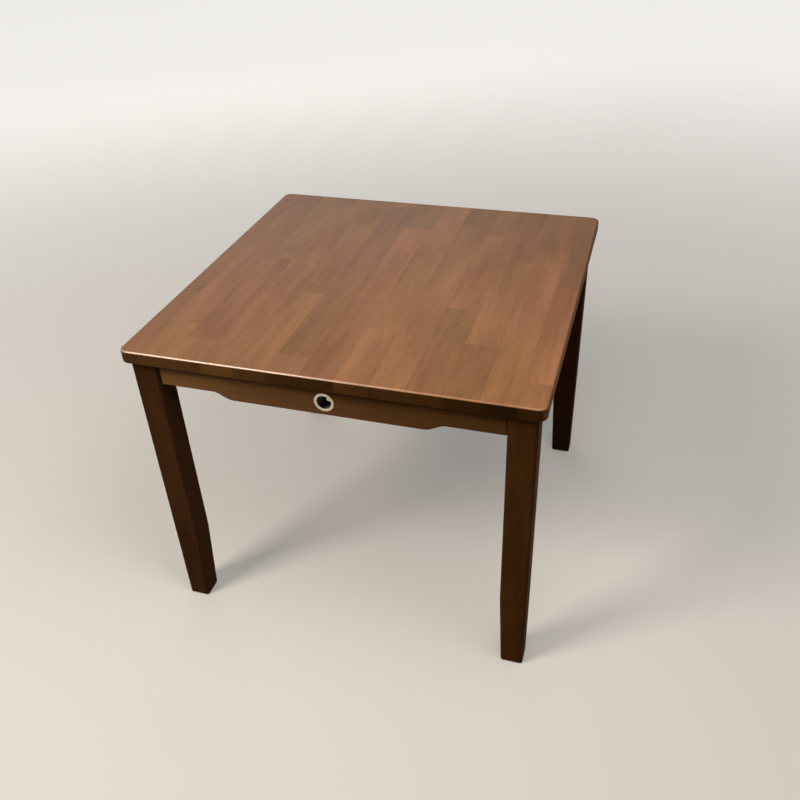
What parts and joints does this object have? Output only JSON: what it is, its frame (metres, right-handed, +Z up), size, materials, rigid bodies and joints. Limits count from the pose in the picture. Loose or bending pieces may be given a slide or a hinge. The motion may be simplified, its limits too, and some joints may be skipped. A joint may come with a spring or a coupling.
{
  "type": "square table",
  "caption": "Square wooden table: an edge-glued top on tapered legs, with shaped aprons, corner blocks held by bolts and a ringed cord hole in the front apron.",
  "frame": {"origin": "on the floor under the middle of the top", "axes": "+Z up, +X to the right seen from the front, front face with the ring towards -Y"},
  "size_m": [0.6, 0.6, 0.498],
  "materials": {
    "top_wood": "satin lacquer over a medium brown stain",
    "frame_wood": "satin lacquer over a dark brown stain",
    "block_wood": "bare sawn wood",
    "zinc_steel": "zinc plated",
    "ring_metal": "satin",
    "sleeve_plastic": "black, matte"
  },
  "bodies": {
    "root": {"tabletop": "top_wood", "apron_front": "frame_wood", "apron_right": "frame_wood", "apron_back": "frame_wood", "apron_left": "frame_wood", "leg_front_left": "frame_wood", "leg_front_right": "frame_wood", "leg_back_right": "frame_wood", "leg_back_left": "frame_wood", "corner_block_front_left": "block_wood", "corner_block_front_right": "block_wood", "corner_block_back_right": "block_wood", "corner_block_back_left": "block_wood", "hanger_bolt_front_left": "zinc_steel", "hanger_bolt_front_right": "zinc_steel", "hanger_bolt_back_right": "zinc_steel", "hanger_bolt_back_left": "zinc_steel", "washer_front_left": "zinc_steel", "washer_front_right": "zinc_steel", "washer_back_right": "zinc_steel", "washer_back_left": "zinc_steel", "nut_front_left": "zinc_steel", "nut_front_right": "zinc_steel", "nut_back_right": "zinc_steel", "nut_back_left": "zinc_steel", "apron_screw_front_left_1": "zinc_steel", "apron_screw_front_left_2": "zinc_steel", "apron_screw_front_right_1": "zinc_steel", "apron_screw_front_right_2": "zinc_steel", "apron_screw_back_right_1": "zinc_steel", "apron_screw_back_right_2": "zinc_steel", "apron_screw_back_left_1": "zinc_steel", "apron_screw_back_left_2": "zinc_steel", "top_screw_front_left_1": "zinc_steel", "top_screw_front_left_2": "zinc_steel", "top_screw_front_right_1": "zinc_steel", "top_screw_front_right_2": "zinc_steel", "top_screw_back_right_1": "zinc_steel", "top_screw_back_right_2": "zinc_steel", "top_screw_back_left_1": "zinc_steel", "top_screw_back_left_2": "zinc_steel", "cord_ring": "ring_metal", "cord_sleeve": "sleeve_plastic"}
  },
  "joints": []
}
